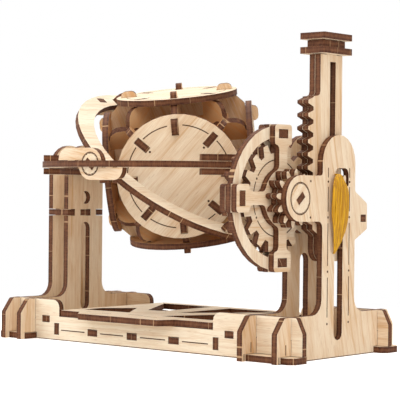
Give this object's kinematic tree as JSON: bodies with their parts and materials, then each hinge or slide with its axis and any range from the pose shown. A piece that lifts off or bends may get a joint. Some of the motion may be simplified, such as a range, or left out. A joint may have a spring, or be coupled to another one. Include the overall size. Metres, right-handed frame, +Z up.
{
  "type": "wooden mechanical puzzle",
  "caption": "Laser-cut plywood hand-pressed random chooser: a rack plunger spins a cube of six round faces hung in two crossed rings.",
  "frame": {"origin": "middle of the footprint of the whole part, on the plane that the base stands on", "axes": "+X along the base towards the plunger and flywheel, +Y to the rear, away from the round face and tray that the viewer sees, +Z up"},
  "size_m": [0.1914, 0.1408, 0.1503],
  "materials": {
    "birch_ply": "matt raw birch ply with laser-burnt edges",
    "rubber": "matt natural rubber band"
  },
  "bodies": {
    "base": {"left_outer_post": "birch_ply", "left_inner_post": "birch_ply", "right_inner_post": "birch_ply", "right_outer_post": "birch_ply", "left_spacer": "birch_ply", "right_spacer": "birch_ply", "plunger_guide_key": "birch_ply", "front_rail": "birch_ply", "rear_rail": "birch_ply", "lattice_floor": "birch_ply", "floor_stiffener": "birch_ply", "cross_tie_left": "birch_ply", "cross_tie_right": "birch_ply", "front_tray": "birch_ply", "front_left_foot": "birch_ply", "front_right_foot": "birch_ply", "rear_left_foot": "birch_ply", "rear_right_foot": "birch_ply", "return_band": "rubber"},
    "plunger": {"rack_inner_ply": "birch_ply", "rack_outer_ply": "birch_ply", "band_peg": "birch_ply", "head_lower_plate": "birch_ply", "head_middle_plate": "birch_ply", "head_top_plate": "birch_ply"},
    "pinion": {"pinion_inner_ply": "birch_ply", "pinion_outer_ply": "birch_ply", "ratchet_hub": "birch_ply", "ratchet_wheel": "birch_ply"},
    "flywheel": {"flywheel_front_yoke": "birch_ply", "flywheel_rim": "birch_ply", "flywheel_rear_yoke": "birch_ply", "flywheel_axle": "birch_ply", "drive_gear": "birch_ply"},
    "outer_ring": {"outer_ring": "birch_ply", "ring_left_upper_arc": "birch_ply", "ring_left_lower_arc": "birch_ply", "ring_right_upper_arc": "birch_ply", "ring_right_lower_arc": "birch_ply", "front_bearing_plate": "birch_ply", "rear_bearing_plate": "birch_ply", "ring_pinion": "birch_ply"},
    "inner_ring": {"inner_ring": "birch_ply", "lower_bearing_plate": "birch_ply", "upper_bearing_plate": "birch_ply"},
    "cube": {"cube_front_disc": "birch_ply", "cube_rear_disc": "birch_ply", "cube_right_disc": "birch_ply", "cube_left_disc": "birch_ply", "cube_top_disc": "birch_ply", "cube_bottom_disc": "birch_ply", "cube_frame_1": "birch_ply", "cube_frame_2": "birch_ply", "cube_frame_3": "birch_ply", "cube_corner_post_1": "birch_ply", "cube_corner_post_2": "birch_ply", "cube_corner_post_3": "birch_ply", "cube_corner_post_4": "birch_ply"}
  },
  "joints": [
    {"name": "plunger_slide", "type": "slide", "parent": "base", "child": "plunger", "axis": [0, 0, -1], "range_m": [0, 0.0368], "stiffness_N_per_m": 40, "springref_m": -0.012, "deforming": ["return_band"]},
    {"name": "pinion_spin", "type": "hinge", "parent": "base", "child": "pinion", "pos_m": [0.07805, -0.0299, 0.0738], "axis": [1, 0, 0], "range_deg": [-183.1, 0]},
    {"name": "outer_ring_spin", "type": "hinge", "parent": "base", "child": "outer_ring", "pos_m": [-0.0066, 0, 0.089], "axis": [1, 0, 0], "continuous": true},
    {"name": "flywheel_spin", "type": "hinge", "parent": "base", "child": "flywheel", "pos_m": [0.07805, -0.0299, 0.0738], "axis": [1, 0, 0], "continuous": true},
    {"name": "inner_ring_spin", "type": "hinge", "parent": "outer_ring", "child": "inner_ring", "pos_m": [-0.0066, 0, 0.089], "axis": [0, 1, 0], "continuous": true},
    {"name": "cube_spin", "type": "hinge", "parent": "inner_ring", "child": "cube", "pos_m": [-0.0066, 0, 0.089], "axis": [0.7976, 0, -0.6032], "continuous": true}
  ],
  "couplings": [
    {"joint": "pinion_spin", "follows": "plunger_slide", "rad_per_m": -86.806},
    {"joint": "flywheel_spin", "follows": "outer_ring_spin", "ratio": -0.47059}
  ]
}
